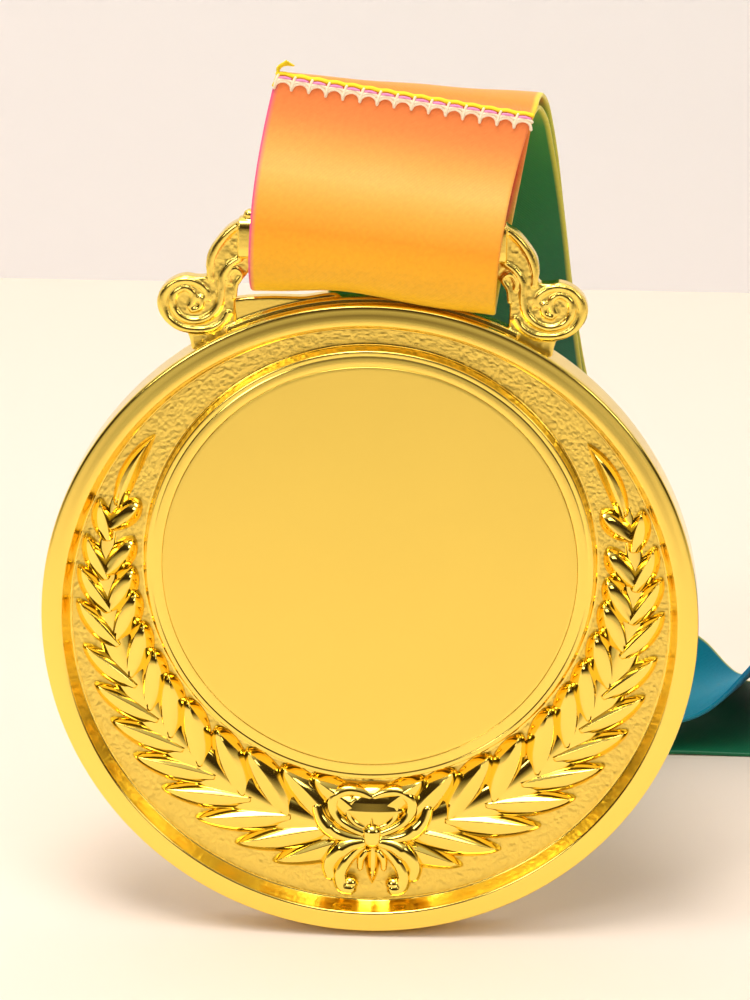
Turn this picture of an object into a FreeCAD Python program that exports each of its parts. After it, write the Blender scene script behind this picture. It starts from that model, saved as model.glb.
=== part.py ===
import FreeCAD, Part

import math
import os

from FreeCAD import Matrix, Placement, Rotation, Vector

# Award medal on a folded neck ribbon, in millimetres.
# Frame: +Z up, the table is Z = 0, the medal's face looks along -Y and +X is to its right.
# The origin is where the medal's rim touches the table; the medal leans back against its ribbon.
# The medal itself is drawn in its own upright frame (x right, y up, z out of the face), whose
# origin is the middle of the disc, and is leaned back as it is written out.

# ---- driving dimensions of the medal ----
LEAN_DEG = 8.0
DISC_RADIUS = 32.5
DISC_THICKNESS = 5.0
EDGE_ROUND = 0.5
RIM_FLAT = 1.95
RIM_SLOPE = 0.8
FIELD_DEPTH = 1.9
BACK_FIELD_DEPTH = 0.8
PLATEAU_OFFSET = 5.7
PLATEAU_RADIUS = 22.4
PLATEAU_DRAFT = 0.35
PLATEAU_HEIGHT = 1.3
PLATE_RADIUS = 20.4
PLATE_THICKNESS = 0.5
PLATE_CLEARANCE = 0.1
PLATE_PROUD = 0.05
ADHESIVE_THICKNESS = 0.1

# ---- driving dimensions of the hanger ----
HANGER_FRONT = 1.0
HANGER_BACK = 1.2
BAR_HEIGHT = 38.5
BAR_HALF_TALL = 2.0
BAR_HALF_THICK = 1.4
SLOT_HALF_WIDTH = 13.9
SCROLL_X = 17.8
SCROLL_Y = 32.2
SCROLL_RADIUS = 3.2
WEB_RADIUS = 32.85

# ---- driving dimensions of the wreath ----
LEAF_PAIRS = 12
STEM_CENTRE_Y = 5.8
STEM_WIDTH = 0.7
STEM_HEIGHT = 0.8

# ---- driving dimensions of the ribbon ----
RIBBON_WIDTH = 25.0
RIBBON_THICKNESS = 0.5
LAYER_PITCH = 0.6
LOOP_TURN_DEG = 8.5
LOOP_RADIUS = 4.25
LOOP_HEIGHT = 14.6
LOOP_CENTRE = (0.75, 37.8)
FOLD_LAYERS = 8
FOLD_PITCH = 2.3
FOLD_START_X = 50.0
FOLD_LENGTH = 70.0
FOLD_NEAR_Y = 36.8
FOLD_BASE = 0.25
STITCHES = 15
THREAD_GAP = 0.1

FRONT_Z = DISC_THICKNESS / 2
FIELD_Z = FRONT_Z - FIELD_DEPTH
PLATEAU_Z = FIELD_Z + PLATEAU_HEIGHT
SEAT_Z = PLATEAU_Z + PLATE_PROUD - PLATE_THICKNESS - ADHESIVE_THICKNESS
HALF_RIBBON = RIBBON_THICKNESS / 2
FOLD_TOP = FOLD_BASE + FOLD_PITCH * (FOLD_LAYERS - 1)
SEAM_FRONT = LAYER_PITCH / 2 + HALF_RIBBON + THREAD_GAP
UP = Vector(0, 0, 1)


def lean_placement():
    """Leans the medal's own frame back and stands its rim on the table at the origin."""
    turn = Rotation(Vector(1, 0, 0), 90 - LEAN_DEG)
    heel = Vector(0, EDGE_ROUND - DISC_RADIUS, EDGE_ROUND - FRONT_Z)
    contact = turn.multVec(heel) - Vector(0, 0, EDGE_ROUND)
    return Placement(contact * -1, turn)


MEDAL = lean_placement()


def write(name, shape):
    """One named piece to its own STEP file."""
    shape.exportStep(os.path.join("parts", name + ".step"))
    print(name, len(shape.Solids), "solids", round(shape.Volume, 1), "mm3", shape.isValid())


def on_medal(shape):
    """A piece drawn in the medal's frame, leaned back."""
    placed = shape.copy()
    placed.Placement = MEDAL.multiply(placed.Placement)
    return placed


def prism(edges, low, high):
    """A closed outline in the medal's xy plane, filled and raised from low to high."""
    face = Part.Face(Part.Wire(Part.__sortEdges__(edges)))
    face.translate(Vector(0, 0, low))
    return face.extrude(Vector(0, 0, high - low))


def mirrored(shape):
    """The same shape on the other side of the medal."""
    return shape.mirror(Vector(0, 0, 0), Vector(1, 0, 0))


# ---------------------------------------------------------------- medal


def medal_disc():
    """The cast disc: rim, sunk grained field, raised off-centre plateau with a seat, plain back."""
    disc = Part.makeCylinder(DISC_RADIUS, DISC_THICKNESS, Vector(0, 0, -FRONT_Z))
    rims = [e for e in disc.Edges if e.Curve.TypeId == "Part::GeomCircle"]
    disc = disc.makeFillet(EDGE_ROUND, rims)
    inner = DISC_RADIUS - RIM_FLAT
    front = Part.makeCone(inner - RIM_SLOPE, inner, FIELD_DEPTH, Vector(0, 0, FIELD_Z))
    back_floor = BACK_FIELD_DEPTH - FRONT_Z
    back = Part.makeCone(inner, inner - RIM_SLOPE, BACK_FIELD_DEPTH, Vector(0, 0, -FRONT_Z))
    disc = disc.cut(front).cut(back)
    centre = Vector(0, PLATEAU_OFFSET, FIELD_Z)
    top_radius = PLATEAU_RADIUS - PLATEAU_DRAFT
    plateau = Part.makeCone(PLATEAU_RADIUS, top_radius, PLATEAU_HEIGHT, centre)
    back_height = BACK_FIELD_DEPTH / 2
    back_centre = Vector(0, PLATEAU_OFFSET, back_floor - back_height)
    back_plateau = Part.makeCone(top_radius, PLATEAU_RADIUS, back_height, back_centre)
    seat_depth = PLATEAU_Z - SEAT_Z
    seat = Part.makeCylinder(PLATE_RADIUS + PLATE_CLEARANCE, seat_depth, Vector(0, PLATEAU_OFFSET, SEAT_Z))
    return disc.fuse([plateau, back_plateau]).cut(seat).removeSplitter()


def centre_plate():
    """The thin blank disc that carries an engraving or a print."""
    low = SEAT_Z + ADHESIVE_THICKNESS
    return Part.makeCylinder(PLATE_RADIUS, PLATE_THICKNESS, Vector(0, PLATEAU_OFFSET, low))


def plate_adhesive():
    """The film that holds the centre plate in its seat."""
    return Part.makeCylinder(PLATE_RADIUS - 0.4, ADHESIVE_THICKNESS, Vector(0, PLATEAU_OFFSET, SEAT_Z))


def hanger_bracket():
    """The bracket: two cheeks with a shoulder knob and an outer scroll, a bar and a low web."""
    outline = [
        (SLOT_HALF_WIDTH + 0.7, 30.0),
        (SLOT_HALF_WIDTH, 33.9),
        (SLOT_HALF_WIDTH - 0.2, 36.0),
        (SLOT_HALF_WIDTH - 1.2, 38.0),
        (11.9, 40.2),
        (12.4, 41.4),
        (13.6, 40.6),
        (15.1, 39.2),
        (16.2, 37.2),
        (16.4, 35.0),
        (SCROLL_X, 33.0),
        (SCROLL_X - 0.3, 29.5),
        (16.4, 27.4),
    ]
    points = [Vector(x, y, 0) for x, y in outline]
    cheek = prism(Part.makePolygon(points + points[:1]).Edges, -HANGER_BACK, HANGER_FRONT)
    depth = HANGER_BACK + HANGER_FRONT
    scroll = Part.makeCylinder(SCROLL_RADIUS, depth, Vector(SCROLL_X, SCROLL_Y, -HANGER_BACK))
    eye = Part.makeTorus(SCROLL_RADIUS - 1.1, 0.45, Vector(SCROLL_X, SCROLL_Y, HANGER_FRONT))
    knob = Part.makeSphere(0.9, Vector(12.9, 40.3, HANGER_FRONT - 0.6))
    side = cheek.fuse([scroll, eye, knob])
    bar = Part.makeBox(
        2 * SLOT_HALF_WIDTH + 1,
        2 * BAR_HALF_TALL,
        2 * BAR_HALF_THICK,
        Vector(-SLOT_HALF_WIDTH - 0.5, BAR_HEIGHT - BAR_HALF_TALL, -BAR_HALF_THICK),
    )
    long_edges = [e for e in bar.Edges if abs(e.Length - 2 * SLOT_HALF_WIDTH - 1) < 0.01]
    bar = bar.makeFillet(0.8, long_edges)
    web = Part.makeCylinder(WEB_RADIUS, depth, Vector(0, 0, -HANGER_BACK))
    reach = SLOT_HALF_WIDTH + 2.0
    web = web.common(Part.makeBox(2 * reach, WEB_RADIUS, depth, Vector(-reach, 20, -HANGER_BACK)))
    bracket = bar.fuse([side, mirrored(side), web])
    seat = Part.makeCylinder(DISC_RADIUS, DISC_THICKNESS, Vector(0, 0, -FRONT_Z))
    return bracket.cut(seat).removeSplitter()


# ---------------------------------------------------------------- wreath


def from_stem_centre(radius, angle_deg):
    """A point at a radius and angle about the wreath's centre."""
    angle = math.radians(angle_deg)
    return Vector(radius * math.cos(angle), STEM_CENTRE_Y + radius * math.sin(angle), 0)


def stem_point(angle_deg):
    """The stem spreads slowly outwards from its tip (170 degrees) to the bow (261 degrees)."""
    return from_stem_centre(25.9 + 0.024 * (angle_deg - 170), angle_deg)


def leaf(tip, base, width, height):
    """A pointed leaf that rises from its base to a ridge near the tip."""
    along = (tip - base).normalize()
    across = UP.cross(along)
    middle = base + (tip - base) * 0.55
    left = middle + across * (width / 2)
    right = middle - across * (width / 2)
    outline = Part.Wire([Part.Arc(base, left, tip).toShape(), Part.Arc(tip, right, base).toShape()])
    inset_base = base + along * 0.5
    inset_tip = tip - along * 0.5
    ridge_left = middle + across * (width * 0.14)
    ridge_right = middle - across * (width * 0.14)
    ridge_out = Part.Arc(inset_base, ridge_left, inset_tip).toShape()
    ridge_back = Part.Arc(inset_tip, ridge_right, inset_base).toShape()
    ridge = Part.Wire([ridge_out, ridge_back])
    outline.translate(Vector(0, 0, FIELD_Z))
    ridge.translate(Vector(0, 0, FIELD_Z + height))
    return Part.makeLoft([outline, ridge], True, True)


def laurel_branch():
    """The left branch: a stem, twelve pairs of leaves that grow towards the bow, and an end leaf."""
    leaves = []
    for i in range(LEAF_PAIRS):
        share = i / (LEAF_PAIRS - 1)
        outer_tip = from_stem_centre(27.2 + 5.4 * share ** 0.8, 167 + 86.0 * share)
        inner_tip = from_stem_centre(23.6 - 0.5 * share, 165 + 90.0 * share)
        length = 4.0 + 4.5 * share
        outer_base = stem_point(167 + 86.0 * share + 2.0 * length)
        inner_base = stem_point(165 + 90.0 * share + 1.7 * length)
        if share < 1:
            leaves.append(leaf(outer_tip, outer_base, 2.0 + 0.5 * share, 1.3))
        leaves.append(leaf(inner_tip, inner_base, 2.0 + 0.5 * share, 1.2))
    end_tip = Vector(-21.2, 18.6, 0)
    leaves.append(leaf(end_tip, Vector(-24.8, 11.4, 0), 2.4, 1.3))
    inner = stem_edge(-STEM_WIDTH / 2)
    outer = stem_edge(STEM_WIDTH / 2)
    caps = [
        Part.makeLine(inner.firstVertex().Point, outer.firstVertex().Point),
        Part.makeLine(inner.lastVertex().Point, outer.lastVertex().Point),
    ]
    stem = prism([inner, outer] + caps, FIELD_Z, FIELD_Z + STEM_HEIGHT)
    return stem.fuse(leaves)


def stem_edge(offset):
    """The stem's edge, moved out from its middle line."""
    points = []
    for angle_deg in (168, 215, 261):
        point = stem_point(angle_deg)
        out = (point - Vector(0, STEM_CENTRE_Y, 0)).normalize()
        points.append(point + out * offset)
    return Part.Arc(*points).toShape()


def laurel_bow():
    """The tie of the two branches: a knot, a heart-shaped loop, a drop and two curled ends."""
    top = FIELD_Z + 1.1
    pieces = [prism(Part.makeCircle(1.2, Vector(0, -21.9, 0)).Edges, FIELD_Z, top + 0.2)]
    for side in (-1, 1):
        ring = Part.makeTorus(1.9, 0.5, Vector(2.0 * side, -19.3, FIELD_Z + 0.5))
        curl = Part.makeSphere(1.0, Vector(2.3 * side, -27.0, FIELD_Z + 0.2))
        start = Vector(0, -22.4, 0)
        strand = Part.Arc(start, Vector(3.2 * side, -24.2, 0), Vector(4.4 * side, -26.0, 0)).toShape()
        profile = Part.Wire(Part.makeCircle(0.5, start, strand.tangentAt(strand.FirstParameter)))
        tube = Part.Wire(strand).makePipeShell([profile], True, True)
        tube.translate(Vector(0, 0, FIELD_Z + 0.45))
        pieces += [ring, curl, tube]
    drop = leaf(Vector(0, -26.8, 0), Vector(0, -22.0, 0), 2.0, 1.1)
    bud = leaf(Vector(0, -18.6, 0), Vector(0, -21.6, 0), 1.5, 1.1)
    bow = pieces[0].fuse(pieces[1:] + [drop, bud])
    floor = Part.makeBox(20, 20, 2, Vector(-10, -32, FIELD_Z - 2))
    return bow.cut(floor)


# ---------------------------------------------------------------- ribbon


class StripPath:
    """A strip's centreline in a plane, drawn as runs and arcs, with its two faces beside it."""

    def __init__(self, start, heading_deg):
        self.at = start
        self.heading = math.radians(heading_deg)
        self.left = []
        self.right = []

    def _side(self, amount):
        return self.at + Vector(-math.sin(self.heading), math.cos(self.heading), 0) * amount

    def run(self, length):
        """Straight on."""
        a = self._side(HALF_RIBBON)
        b = self._side(-HALF_RIBBON)
        self.at = self.at + Vector(math.cos(self.heading), math.sin(self.heading), 0) * length
        self.left.append(Part.makeLine(a, self._side(HALF_RIBBON)))
        self.right.append(Part.makeLine(b, self._side(-HALF_RIBBON)))

    def bend(self, radius, turn_deg):
        """An arc; a positive turn is to the left."""
        sign = 1 if turn_deg > 0 else -1
        centre = self._side(sign * radius)
        starts = (self._side(HALF_RIBBON), self._side(-HALF_RIBBON))
        arm = self.at - centre
        half_way = centre + Rotation(UP, turn_deg / 2).multVec(arm)
        self.at = centre + Rotation(UP, turn_deg).multVec(arm)
        half_heading = self.heading + math.radians(turn_deg) / 2
        self.heading += math.radians(turn_deg)
        ends = (self._side(HALF_RIBBON), self._side(-HALF_RIBBON))
        normal = Vector(-math.sin(half_heading), math.cos(half_heading), 0)
        mids = (half_way + normal * HALF_RIBBON, half_way - normal * HALF_RIBBON)
        for side, a, m, b in zip((self.left, self.right), starts, mids, ends):
            side.append(Part.Arc(a, m, b).toShape())

    def strip(self, width):
        """The strip's solid, as wide as stated along the plane's normal, centred on the plane."""
        caps = [
            Part.makeLine(self.left[0].firstVertex(True).Point, self.right[0].firstVertex(True).Point),
            Part.makeLine(self.left[-1].lastVertex(True).Point, self.right[-1].lastVertex(True).Point),
        ]
        edges = self.left + self.right + caps
        face = Part.Face(Part.Wire(Part.__sortEdges__(edges)))
        face.translate(UP * (-width / 2))
        return face.extrude(UP * width)


def loop_placement():
    """From the loop's profile plane to the medal's frame.

    Profile x runs up the loop, profile y out of the medal's face and profile z along the width.
    """
    turn = math.radians(LOOP_TURN_DEG)
    up = Vector(math.sin(turn), math.cos(turn), 0)
    out = Vector(0, 0, 1)
    along = up.cross(out)
    x, y = LOOP_CENTRE
    matrix = Matrix(up.x, out.x, along.x, x, up.y, out.y, along.y, y, up.z, out.z, along.z, 0, 0, 0, 0, 1)
    return Placement(matrix)


def side_bend():
    """Radius and angle of the two equal arcs that bring a side of the loop in to the seam."""
    inward = LOOP_RADIUS - LAYER_PITCH / 2
    radius = (inward ** 2 + LOOP_HEIGHT ** 2) / (4 * inward)
    angle = math.degrees(math.asin(LOOP_HEIGHT / 2 / radius))
    return radius, angle


def ribbon_loop():
    """The short loop round the hanger's bar, both sides brought together at the seam."""
    radius, angle = side_bend()
    path = StripPath(Vector(LOOP_HEIGHT, LAYER_PITCH / 2, 0), 180)
    path.bend(radius, -angle)
    path.bend(radius, angle)
    path.bend(LOOP_RADIUS, 180)
    path.bend(radius, angle)
    path.bend(radius, -angle)
    strip = path.strip(RIBBON_WIDTH)
    strip.Placement = loop_placement()
    return on_medal(strip)


def loft_strip(stations):
    """A ribbon through (left edge, right edge) stations, one flat strip from each to the next."""
    centres = [(a + b) * 0.5 for a, b in stations]
    sections = []
    for i, (left, right) in enumerate(stations):
        ahead = centres[min(i + 1, len(centres) - 1)]
        behind = centres[max(i - 1, 0)]
        normal = (right - left).cross(ahead - behind).normalize() * HALF_RIBBON
        corners = [left + normal, right + normal, right - normal, left - normal]
        sections.append(Part.makePolygon(corners + corners[:1]))
    strip = Part.makeLoft(sections, True, True)
    if strip.Volume < 0:
        strip.reverse()
    return strip


def seam_end(depth, rise=0.0):
    """The two ends of the seam, at a depth behind the loop's middle plane."""
    ends = []
    for side in (-1, 1):
        profile = Vector(LOOP_HEIGHT + rise, -depth, side * RIBBON_WIDTH / 2)
        ends.append(MEDAL.multVec(loop_placement().multVec(profile)))
    return ends


# Each length of ribbon from the arch to the put-away folds is given by stations along its edges.
# The rear length is the outer one: it lands flat on the table and runs into the lowest fold.
REAR_RIGHT = [
    (15.9, 10.8, 83.2),
    (16.3, 12.6, 83.5),
    (16.7, 15.2, 83.1),
    (17.2, 18.2, 81.4),
    (17.9, 22.0, 76.5),
    (18.9, 27.5, 66.0),
    (19.9, 32.5, 54.5),
    (21.6, 38.0, 42.5),
    (24.4, 44.5, 29.0),
    (28.4, 52.0, 14.0),
    (34.0, 60.0, 2.4),
    (41.0, 61.8, 0.3),
    (FOLD_START_X, 61.8, FOLD_BASE),
]
REAR_LEFT = [
    (-9.0, 10.9, 86.8),
    (-8.5, 11.8, 86.9),
    (-7.9, 12.9, 86.2),
    (-7.2, 14.4, 84.2),
    (-6.4, 17.5, 79.0),
    (-5.2, 21.0, 68.5),
    (-3.6, 24.5, 57.0),
    (-1.4, 28.0, 44.5),
    (2.2, 31.6, 30.5),
    (8.0, 35.4, 14.5),
    (21.0, 36.8, 0.9),
    (34.0, 36.8, 0.3),
    (FOLD_START_X, FOLD_NEAR_Y, FOLD_BASE),
]
# The front length is the inner one: it lies over the other, then lifts its near edge first
# and runs into the highest fold.
FRONT_RIGHT = [
    (15.9, 12.3, 82.5),
    (16.3, 14.3, 82.1),
    (16.8, 16.8, 80.4),
    (17.4, 20.4, 75.2),
    (18.4, 25.6, 64.8),
    (19.3, 30.2, 53.4),
    (20.8, 35.4, 41.2),
    (23.2, 41.6, 27.6),
    (27.3, 49.2, 14.4),
    (34.5, 57.6, 4.6),
    (40.5, 61.0, 3.2),
    (44.8, 61.8, 9.5),
    (47.6, 61.8, FOLD_TOP - 0.3),
    (FOLD_START_X, 61.8, FOLD_TOP),
]
FRONT_LEFT = [
    (-8.8, 11.6, 85.8),
    (-8.1, 12.3, 84.9),
    (-7.6, 13.3, 82.7),
    (-6.8, 15.9, 77.7),
    (-5.7, 19.1, 67.3),
    (-4.3, 22.2, 55.9),
    (-2.2, 25.4, 43.2),
    (1.2, 28.8, 29.1),
    (8.4, 33.0, 14.4),
    (22.0, 36.4, 3.6),
    (33.0, 36.8, 4.8),
    (41.0, 36.8, 13.0),
    (46.5, 36.8, FOLD_TOP - 0.3),
    (FOLD_START_X, FOLD_NEAR_Y, FOLD_TOP),
]


def neck_length(rights, lefts, depth, rise):
    """A length of the neck ribbon, from the seam over the arch and down to the folds."""
    stations = [seam_end(depth)]
    if rise:
        stations.append(seam_end(depth, rise))
    for right, left in zip(rights, lefts):
        stations.append((Vector(*left), Vector(*right)))
    return loft_strip(stations)


def neck_folds():
    """The rest of the neck loop, laid in flat folds one on another."""
    path = StripPath(Vector(FOLD_START_X, FOLD_BASE, 0), 0)
    direction = 1
    for layer in range(FOLD_LAYERS):
        path.run(FOLD_LENGTH)
        if layer < FOLD_LAYERS - 1:
            path.bend(FOLD_PITCH / 2, 180 * direction)
            direction = -direction
    strip = path.strip(RIBBON_WIDTH)
    upright = Rotation(Vector(1, 0, 0), 90)
    strip.Placement = Placement(Vector(0, FOLD_NEAR_Y + RIBBON_WIDTH / 2, 0), upright)
    return strip


# ---------------------------------------------------------------- seam threads


def stitch_places():
    """Where each stitch stands along the seam."""
    pitch = RIBBON_WIDTH / STITCHES
    return [(i + 0.5) * pitch - RIBBON_WIDTH / 2 for i in range(STITCHES)]


def looper_thread():
    """The looper thread: small hoops over the cut edge of the loop's front side."""
    front = SEAM_FRONT
    hoops = []
    for place in stitch_places():
        hoops.append(Part.makeBox(1.3, 0.2, 0.5, Vector(LOOP_HEIGHT - 1.2, front, place - 0.25)))
        hoops.append(Part.makeBox(0.3, 0.7, 0.5, Vector(LOOP_HEIGHT + 0.02, front - 0.5, place - 0.25)))
    edge = Part.makeBox(0.3, 0.25, RIBBON_WIDTH - 0.4, Vector(LOOP_HEIGHT + 0.02, front, 0.2 - RIBBON_WIDTH / 2))
    threads = edge.fuse(hoops).removeSplitter()
    threads.Placement = loop_placement()
    return on_medal(threads)


def needle_thread():
    """The needle thread: one short stitch after another below the cut edge."""
    front = SEAM_FRONT
    stitches = []
    for place in stitch_places():
        stitches.append(Part.makeBox(0.3, 0.2, 1.2, Vector(LOOP_HEIGHT - 1.55, front, place - 0.6)))
    threads = Part.makeCompound(stitches)
    threads.Placement = loop_placement()
    return on_medal(threads)


def thread_tail():
    """The loose end of the thread at the seam's left corner."""
    front = SEAM_FRONT
    start = Vector(LOOP_HEIGHT + 0.4, front, -RIBBON_WIDTH / 2 + 0.6)
    middle = start + Vector(0.7, 0.1, 0.5)
    end = start + Vector(1.1, 0.3, -0.4)
    arc = Part.Arc(start, middle, end).toShape()
    ring = Part.Wire(Part.makeCircle(0.15, start, arc.tangentAt(arc.FirstParameter)))
    tail = Part.Wire(arc).makePipeShell([ring], True, True)
    tail.Placement = loop_placement()
    return on_medal(tail)


def main():
    os.makedirs("parts", exist_ok=True)
    branch = laurel_branch()
    write("medal_disc", on_medal(medal_disc()))
    write("centre_plate", on_medal(centre_plate()))
    write("plate_adhesive", on_medal(plate_adhesive()))
    write("hanger_bracket", on_medal(hanger_bracket()))
    write("laurel_branch_left", on_medal(branch))
    write("laurel_branch_right", on_medal(mirrored(branch)))
    write("laurel_bow", on_medal(laurel_bow().cut([branch, mirrored(branch)])))
    write("ribbon_loop", ribbon_loop())
    write("ribbon_rear_length", neck_length(REAR_RIGHT, REAR_LEFT, LAYER_PITCH / 2, 0.5))
    write("ribbon_front_length", neck_length(FRONT_RIGHT, FRONT_LEFT, 1.8 * LAYER_PITCH, 0))
    write("ribbon_neck_folds", neck_folds())
    write("seam_looper_thread", looper_thread())
    write("seam_needle_thread", needle_thread())
    write("seam_thread_tail", thread_tail())


main()
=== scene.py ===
import math

import bmesh
import bpy
import numpy as np
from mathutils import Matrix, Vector


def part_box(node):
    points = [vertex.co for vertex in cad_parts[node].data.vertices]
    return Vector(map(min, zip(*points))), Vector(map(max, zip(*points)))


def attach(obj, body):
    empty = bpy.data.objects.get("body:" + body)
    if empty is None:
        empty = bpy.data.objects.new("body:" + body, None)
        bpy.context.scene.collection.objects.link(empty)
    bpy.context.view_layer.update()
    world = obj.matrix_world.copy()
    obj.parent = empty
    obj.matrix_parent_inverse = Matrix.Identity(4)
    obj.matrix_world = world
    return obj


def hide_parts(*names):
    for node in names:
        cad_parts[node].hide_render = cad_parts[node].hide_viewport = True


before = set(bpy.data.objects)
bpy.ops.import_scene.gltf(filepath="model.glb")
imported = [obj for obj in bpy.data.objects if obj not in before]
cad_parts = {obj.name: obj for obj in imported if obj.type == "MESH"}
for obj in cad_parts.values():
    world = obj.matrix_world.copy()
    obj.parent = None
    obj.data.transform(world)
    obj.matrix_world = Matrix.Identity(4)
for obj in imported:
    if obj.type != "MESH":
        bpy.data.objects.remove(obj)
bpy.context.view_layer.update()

# Lengths are in millimetres until a mesh is made. The medal is drawn in its own frame: x right,
# y up, z out of its face, with the origin in the middle of the disc. on_medal leans it back.
MM = 0.001
LEAN = math.radians(8.0)
disc_low, disc_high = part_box("medal_disc")
DISC_CENTRE = np.array((disc_low + disc_high) / 2) / MM

# ---- the casting, as in the CAD ----
DISC_RADIUS = 32.5
FRONT_Z = 2.5
SLOPE_FOOT = 29.75
FIELD_Z = 0.6
BACK_FIELD_Z = -1.7
PLATEAU_Y = 5.7
PLATEAU_RADIUS = 22.4
PLATEAU_TOP_RADIUS = 22.05
PLATEAU_Z = 1.9
SEAT_Z = 1.35
PLATE_RADIUS = 20.4
PLATE_Z = 1.95
SEGMENTS = 1080

# ---- the ribbon, as in the CAD, but drawn 0.02 thinner ----
RIBBON_WIDTH = 25.0
RIBBON_LENGTH = 850.0
HALF_THICK = 0.24
LOOP_CENTRE = (0.75, 37.8)
LOOP_TURN = math.radians(8.5)
LOOP_RADIUS = 4.25
LOOP_HEIGHT = 14.6
LAYER = 0.3
STITCHES = 15

# ---- only in this script: the foot of the loop is pulled in, and cloth stays off the table ----
FOOT_DRAWN_IN = 0.8
LOWEST_CLOTH = 0.2

noise_table = np.random.default_rng(11).random((256, 256))


# ---------------------------------------------------------------- helpers


def on_medal(points):
    """Points of the medal's own frame, in the row frame."""
    p = np.asarray(points, float)
    y = p[..., 1] * math.sin(LEAN) - p[..., 2] * math.cos(LEAN)
    z = p[..., 1] * math.cos(LEAN) + p[..., 2] * math.sin(LEAN)
    return np.stack([p[..., 0], y, z], -1) + DISC_CENTRE


def lumps(x, y, cell):
    """Smooth random values from -1 to 1 that change over about one cell."""
    u = np.asarray(x, float) / cell + 1000
    v = np.asarray(y, float) / cell + 1000
    i = np.floor(u).astype(int)
    j = np.floor(v).astype(int)
    a = u - i
    b = v - j
    a = a * a * (3 - 2 * a)
    b = b * b * (3 - 2 * b)

    def at(m, n):
        return noise_table[m % 256, n % 256]

    low = at(i, j) * (1 - a) + at(i + 1, j) * a
    high = at(i, j + 1) * (1 - a) + at(i + 1, j + 1) * a
    return (low * (1 - b) + high * b) * 2 - 1


def smooth_line(points, spacing):
    """A smooth curve through points, given as points at an even spacing."""
    p = np.asarray(points, float)
    gaps = np.linalg.norm(np.diff(p, axis=0), axis=1)
    knots = np.concatenate([[0], np.cumsum(gaps)])
    slopes = np.gradient(p, knots, axis=0)
    count = max(2, int(knots[-1] / spacing)) + 1
    t = np.linspace(0, knots[-1], count)
    i = np.clip(np.searchsorted(knots, t, side="right") - 1, 0, len(p) - 2)
    h = (knots[i + 1] - knots[i])[:, None]
    u = (t - knots[i])[:, None] / h
    start = (2 * u ** 3 - 3 * u ** 2 + 1) * p[i]
    leave = (u ** 3 - 2 * u ** 2 + u) * h * slopes[i]
    end = (3 * u ** 2 - 2 * u ** 3) * p[i + 1]
    arrive = (u ** 3 - u ** 2) * h * slopes[i + 1]
    return start + leave + end + arrive


def skin(rings, close_rings=False):
    """Points and faces of a surface through closed rings of equal count, capped at its two ends."""
    rings = np.asarray(rings, float)
    rows, cols = rings.shape[:2]
    i, j = np.meshgrid(np.arange(rows if close_rings else rows - 1), np.arange(cols), indexing="ij")
    i2 = (i + 1) % rows
    j2 = (j + 1) % cols
    faces = np.stack([i * cols + j, i2 * cols + j, i2 * cols + j2, i * cols + j2], -1).reshape(-1, 4)
    faces = faces.tolist()
    if not close_rings:
        faces.append(list(range(cols)))
        faces.append([(rows - 1) * cols + k for k in reversed(range(cols))])
    return rings.reshape(-1, 3), faces


def together(parts):
    """Several (points, faces) as one."""
    points = []
    faces = []
    start = 0
    for part_points, part_faces in parts:
        points.append(part_points)
        faces += [[start + k for k in face] for face in part_faces]
        start += len(part_points)
    return np.concatenate(points), faces


def make(name, points, faces, coat, body, nodes=()):
    """One piece from millimetre points in the row frame, riding on a body, in place of CAD nodes."""
    mesh = bpy.data.meshes.new(name)
    mesh.from_pydata((np.asarray(points) * MM).tolist(), [], faces)
    work = bmesh.new()
    work.from_mesh(mesh)
    bmesh.ops.recalc_face_normals(work, faces=work.faces)
    work.to_mesh(mesh)
    work.free()
    mesh.shade_smooth()
    mesh.materials.append(coat)
    piece = bpy.data.objects.new(name, mesh)
    bpy.context.scene.collection.objects.link(piece)
    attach(piece, body)
    if nodes:
        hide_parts(*nodes)
    return piece


def point_values(piece, name, values):
    """A number at each point of a mesh, for its material to read."""
    layer = piece.data.attributes.new(name, "FLOAT", "POINT")
    layer.data.foreach_set("value", np.asarray(values, np.float32).ravel())


def point_colours(piece, colours):
    """A linear colour at each point of a mesh."""
    layer = piece.data.attributes.new("colour", "FLOAT_COLOR", "POINT")
    full = np.concatenate([colours, np.ones((len(colours), 1))], 1)
    layer.data.foreach_set("color", full.astype(np.float32).ravel())


def linear(r, g, b):
    """A linear colour from an ordinary 0 to 255 one."""
    parts = [c / 255 for c in (r, g, b)]
    return tuple(c / 12.92 if c < 0.04045 else ((c + 0.055) / 1.055) ** 2.4 for c in parts)


def tube(points, radius, sides=12, flat=1.0):
    """A round strand along points of the medal's frame; flat squeezes its height."""
    p = np.asarray(points, float)
    r = np.broadcast_to(np.asarray(radius, float), (len(p),))
    ahead = np.gradient(p, axis=0)
    ahead /= np.linalg.norm(ahead, axis=1)[:, None]
    up = np.array([0.0, 0.0, 1.0])
    side = np.cross(ahead, up)
    side /= np.maximum(np.linalg.norm(side, axis=1), 1e-9)[:, None]
    lift = np.cross(side, ahead)
    turn = np.linspace(0, 2 * math.pi, sides, endpoint=False)
    around = side[:, None] * np.cos(turn)[None, :, None]
    around = around + lift[:, None] * np.sin(turn)[None, :, None] * flat
    body = p[:, None] + around * r[:, None, None]
    nose = (p[0] - ahead[0] * r[0] * 0.6)[None] + around[0] * r[0] * 0.5
    tail = (p[-1] + ahead[-1] * r[-1] * 0.6)[None] + around[-1] * r[-1] * 0.5
    return skin(np.concatenate([nose[None], body, tail[None]]))


# ---------------------------------------------------------------- materials


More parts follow.
